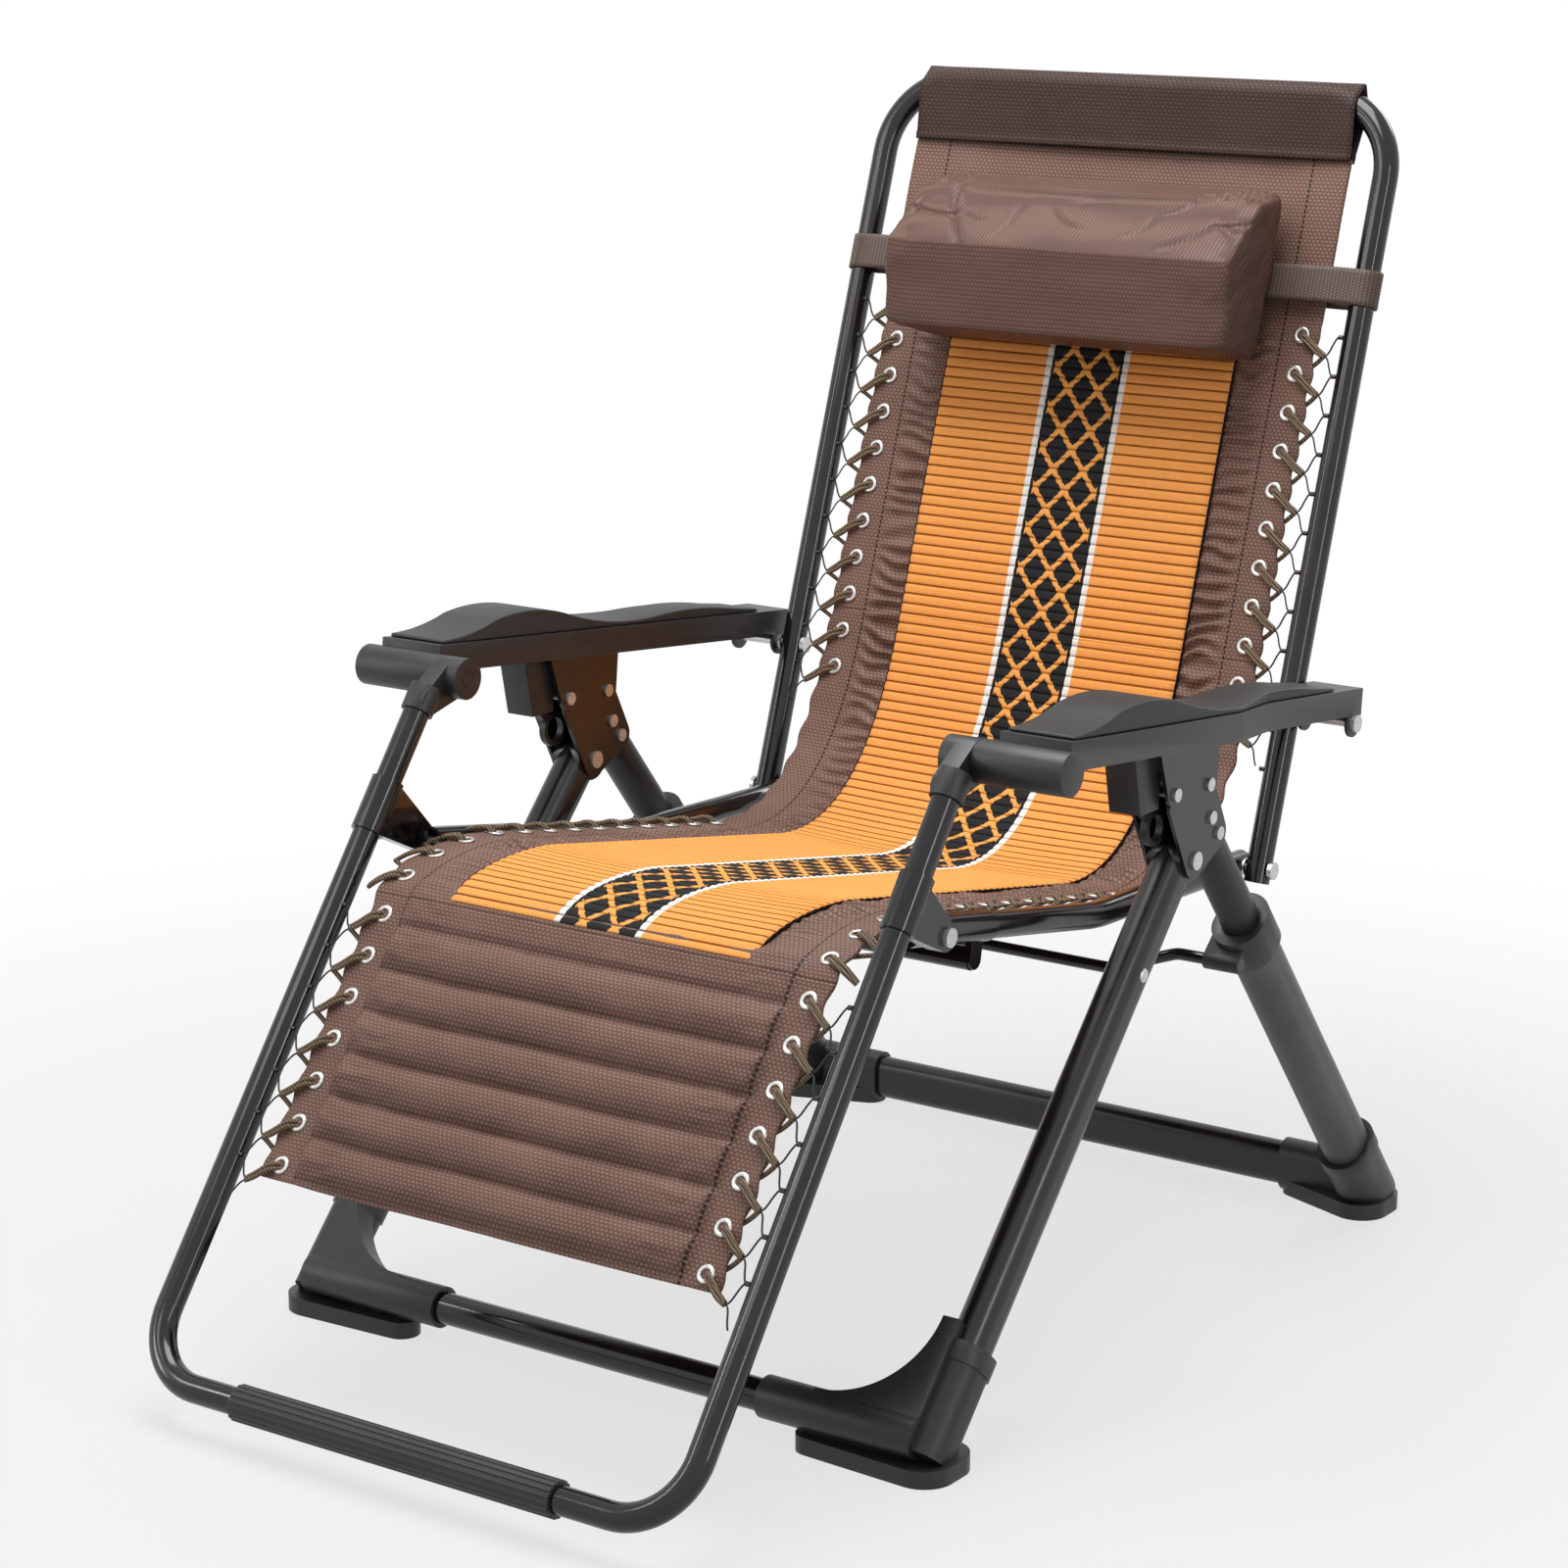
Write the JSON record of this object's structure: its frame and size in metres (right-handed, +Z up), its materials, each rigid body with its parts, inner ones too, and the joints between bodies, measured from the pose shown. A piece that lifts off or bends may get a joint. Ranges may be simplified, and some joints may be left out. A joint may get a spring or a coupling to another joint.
{
  "type": "folding reclining chair",
  "caption": "Folding reclining lounge chair with a laced cloth sling, a strapped head pillow, wavy armrests and a scissor stand that folds.",
  "frame": {"origin": "on the floor under the middle of the upright chair's box", "axes": "+Z up, -Y towards the sitter's feet, +X to the sitter's left"},
  "size_m": [0.682, 1.0716, 0.9801],
  "materials": {
    "tube_black": "gloss",
    "leg_grey": "satin",
    "leg_dark": "satin",
    "moulded_black": "satin",
    "pad_black": "matt",
    "zinc": "satin",
    "eyelet_metal": "gloss",
    "cloth_brown": "woven",
    "mat_orange": "woven",
    "lace_brown": "cord",
    "string_black": "cord"
  },
  "bodies": {
    "rear_stand": {"rear_leg_upper_left": "leg_dark", "rear_leg_upper_right": "leg_dark", "rear_leg_lower_left": "leg_grey", "rear_leg_lower_right": "leg_grey", "rear_collar_left": "moulded_black", "rear_collar_right": "moulded_black", "rear_boot_left": "moulded_black", "rear_boot_right": "moulded_black", "knuckle_left": "leg_dark", "knuckle_right": "leg_dark", "rear_stay": "leg_dark", "rear_crossbar": "leg_dark", "knuckle_bolts": "zinc"},
    "front_stand": {"front_leg_left": "tube_black", "front_leg_right": "tube_black", "front_boot_left": "moulded_black", "front_boot_right": "moulded_black", "front_crossbar": "tube_black"},
    "armrests": {"armrest_frame_left": "moulded_black", "armrest_frame_right": "moulded_black", "armrest_pad_left": "pad_black", "armrest_pad_right": "pad_black", "arm_bracket_left": "leg_dark", "arm_bracket_right": "leg_dark", "lock_block_left": "moulded_black", "lock_block_right": "moulded_black", "bracket_bolts": "zinc", "drum_pins": "zinc", "arm_rear_bolts": "zinc"},
    "lever_left": {"lock_lever_left": "moulded_black"},
    "lever_right": {"lock_lever_right": "moulded_black"},
    "back": {"back_tube": "tube_black", "head_pocket": "cloth_brown", "back_sling": "cloth_brown", "back_mat": "mat_orange", "back_eyelet_rings": "eyelet_metal", "back_lacing": "lace_brown", "back_string": "string_black"},
    "pillow": {"head_pillow": "cloth_brown", "pillow_strap": "cloth_brown"},
    "seat": {"seat_rail_left": "tube_black", "seat_rail_right": "tube_black", "seat_bar": "tube_black", "seat_rear_bolts": "zinc", "seat_front_bolts": "zinc", "seat_sling": "cloth_brown", "seat_mat": "mat_orange", "seat_eyelet_rings": "eyelet_metal", "seat_lacing": "lace_brown"},
    "legrest": {"legrest_head_left": "moulded_black", "legrest_head_right": "moulded_black", "legrest_ear_left": "tube_black", "legrest_ear_right": "tube_black", "legrest_tube": "tube_black", "legrest_grip": "pad_black", "legrest_sling": "cloth_brown", "knee_sling": "cloth_brown", "legrest_eyelet_rings": "eyelet_metal", "legrest_lacing": "lace_brown", "legrest_string": "string_black"}
  },
  "joints": [
    {"name": "fold", "type": "hinge", "parent": "rear_stand", "child": "armrests", "pos_m": [0, 0.1015, 0.46], "axis": [-1, 0, 0], "range_deg": [0, 19]},
    {"name": "front_legs", "type": "hinge", "parent": "rear_stand", "child": "front_stand", "pos_m": [0, 0.088, 0.4], "axis": [1, 0, 0], "range_deg": [0, 30.23]},
    {"name": "recline", "type": "hinge", "parent": "armrests", "child": "back", "pos_m": [0, 0.3535, 0.462], "axis": [-1, 0, 0], "range_deg": [0, 55]},
    {"name": "seat_tilt", "type": "hinge", "parent": "back", "child": "seat", "pos_m": [0, 0.311, 0.335], "axis": [-1, 0, 0], "range_deg": [-55, 0]},
    {"name": "legrest_swing", "type": "hinge", "parent": "seat", "child": "legrest", "pos_m": [0, -0.183, 0.391], "axis": [-1, 0, 0], "range_deg": [0, 55]},
    {"name": "lock_left", "type": "hinge", "parent": "armrests", "child": "lever_left", "pos_m": [-0.3, 0.0255, 0.46], "axis": [-1, 0, 0], "range_deg": [0, 20], "stiffness_Nm_per_rad": 0.12},
    {"name": "lock_right", "type": "hinge", "parent": "armrests", "child": "lever_right", "pos_m": [0.3, 0.0255, 0.46], "axis": [-1, 0, 0], "range_deg": [0, 20], "stiffness_Nm_per_rad": 0.12},
    {"name": "pillow_slide", "type": "slide", "parent": "back", "child": "pillow", "axis": [0, -0.3173, -0.9483], "range_m": [0, 0.15]}
  ],
  "couplings": [
    {"joint": "front_legs", "follows": "fold", "ratio": 1.5909},
    {"joint": "seat_tilt", "follows": "recline", "ratio": -1},
    {"joint": "legrest_swing", "follows": "recline", "ratio": 1}
  ]
}
